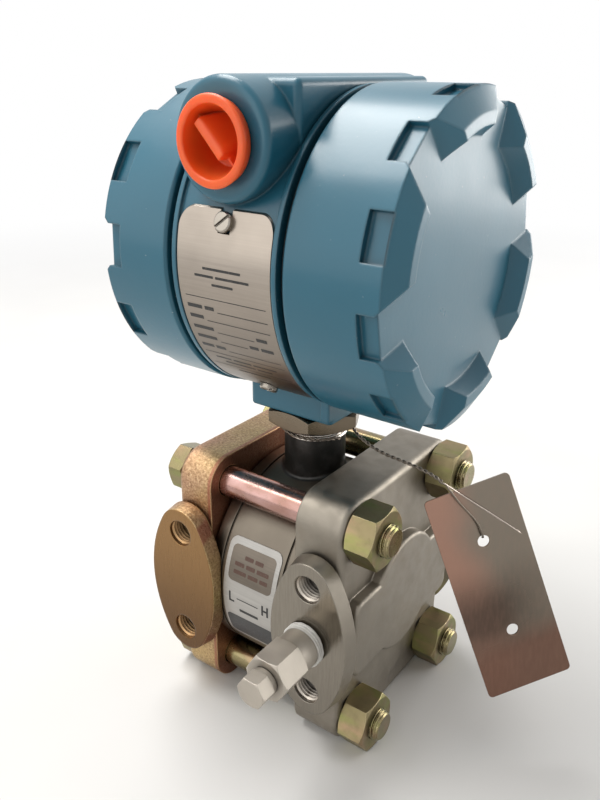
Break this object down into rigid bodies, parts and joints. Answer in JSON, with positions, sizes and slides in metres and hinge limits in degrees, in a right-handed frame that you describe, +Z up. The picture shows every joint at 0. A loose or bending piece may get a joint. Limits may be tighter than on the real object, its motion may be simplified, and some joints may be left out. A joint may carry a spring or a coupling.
{
  "type": "pressure transmitter",
  "caption": "Pressure transmitter: round painted housing with screw covers and plugged conduit hub on a bolted, flanged steel sensor with vent valve and wired tag; reads process pressure.",
  "frame": {"origin": "middle of the process flange's foot face, on the base plane", "axes": "+Z up along the neck, +X along the sensor and housing axis toward the circuit side, -Y toward the plugged conduit hub and the vent valve"},
  "size_m": [0.1485, 0.1238, 0.2217],
  "materials": {
    "blue_paint": "gloss polyurethane paint",
    "cast_stainless": "blasted casting",
    "stainless": "machined",
    "yellow_zinc": "yellow chromate plating",
    "black_rubber": "moulded",
    "orange_plastic": "moulded",
    "white_tape": "wrapped tape",
    "gasket_white": "sheet",
    "nameplate_steel": "brushed sheet",
    "label_foil": "printed foil",
    "black_moulding": "moulded",
    "board_green": "soldered board",
    "tag_steel": "rolled sheet",
    "wire_steel": "drawn wire",
    "brass": "turned"
  },
  "bodies": {
    "sensor": {"sensor_module": "stainless", "high_side_diaphragm": "stainless", "low_side_diaphragm": "stainless", "high_side_gasket": "gasket_white", "low_side_gasket": "gasket_white", "process_flange": "cast_stainless", "blank_flange": "yellow_zinc", "flange_bolts": "yellow_zinc", "flange_nuts": "yellow_zinc", "vent_valve_body": "stainless", "vent_seal_tape": "white_tape", "neck_lock_nut": "stainless", "neck_seal": "black_rubber", "module_label": "label_foil", "tag_plate": "tag_steel", "tag_wire": "wire_steel"},
    "housing": {"electronics_housing": "blue_paint", "nameplate": "nameplate_steel", "nameplate_screws": "stainless", "terminal_block": "black_moulding", "terminal_screws": "brass", "amplifier_board": "board_green", "calibration_board": "board_green", "board_spacers": "brass", "board_screws": "stainless"},
    "terminal_seal_ring": {"terminal_cover_seal": "black_rubber"},
    "terminal_cap": {"terminal_cover": "blue_paint"},
    "circuit_seal_ring": {"circuit_cover_seal": "black_rubber"},
    "circuit_cap": {"circuit_cover": "blue_paint"},
    "plug": {"conduit_plug": "orange_plastic"},
    "vent_stem": {"vent_valve_stem": "stainless"},
    "zero_adjuster": {"zero_screw": "brass"},
    "span_adjuster": {"span_screw": "brass"}
  },
  "joints": [
    {"name": "housing_swivel", "type": "hinge", "parent": "sensor", "child": "housing", "pos_m": [-0.0264, 0, 0.12], "axis": [0, 0, 1], "range_deg": [-90, 90]},
    {"name": "terminal_cover_travel", "type": "slide", "parent": "housing", "child": "terminal_seal_ring", "axis": [-1, 0, 0], "range_m": [0, 0.00751]},
    {"name": "terminal_cover_turn", "type": "hinge", "parent": "terminal_seal_ring", "child": "terminal_cap", "pos_m": [-0.0264, 0, 0.1692], "axis": [-1, 0, 0], "range_deg": [0, 1800]},
    {"name": "circuit_cover_travel", "type": "slide", "parent": "housing", "child": "circuit_seal_ring", "axis": [1, 0, 0], "range_m": [0, 0.00751]},
    {"name": "circuit_cover_turn", "type": "hinge", "parent": "circuit_seal_ring", "child": "circuit_cap", "pos_m": [-0.0264, 0, 0.1692], "axis": [1, 0, 0], "range_deg": [0, 1800]},
    {"name": "conduit_plug_pull", "type": "slide", "parent": "housing", "child": "plug", "axis": [0, -1, 0], "range_m": [0, 0.013]},
    {"name": "vent_stem_turn", "type": "hinge", "parent": "sensor", "child": "vent_stem", "pos_m": [0.0016, -0.0439, 0.0482], "axis": [0, -1, 0], "range_deg": [0, 180]},
    {"name": "zero_screw_turn", "type": "hinge", "parent": "housing", "child": "zero_adjuster", "pos_m": [-0.0307, 0, 0.1692], "axis": [0, -0.9426, -0.3338], "continuous": true},
    {"name": "span_screw_turn", "type": "hinge", "parent": "housing", "child": "span_adjuster", "pos_m": [-0.0197, 0, 0.1692], "axis": [0, -0.9426, -0.3338], "continuous": true}
  ],
  "couplings": [
    {"joint": "terminal_cover_travel", "follows": "terminal_cover_turn", "m_per_rad": 0.00023873},
    {"joint": "circuit_cover_travel", "follows": "circuit_cover_turn", "m_per_rad": 0.00023873}
  ]
}
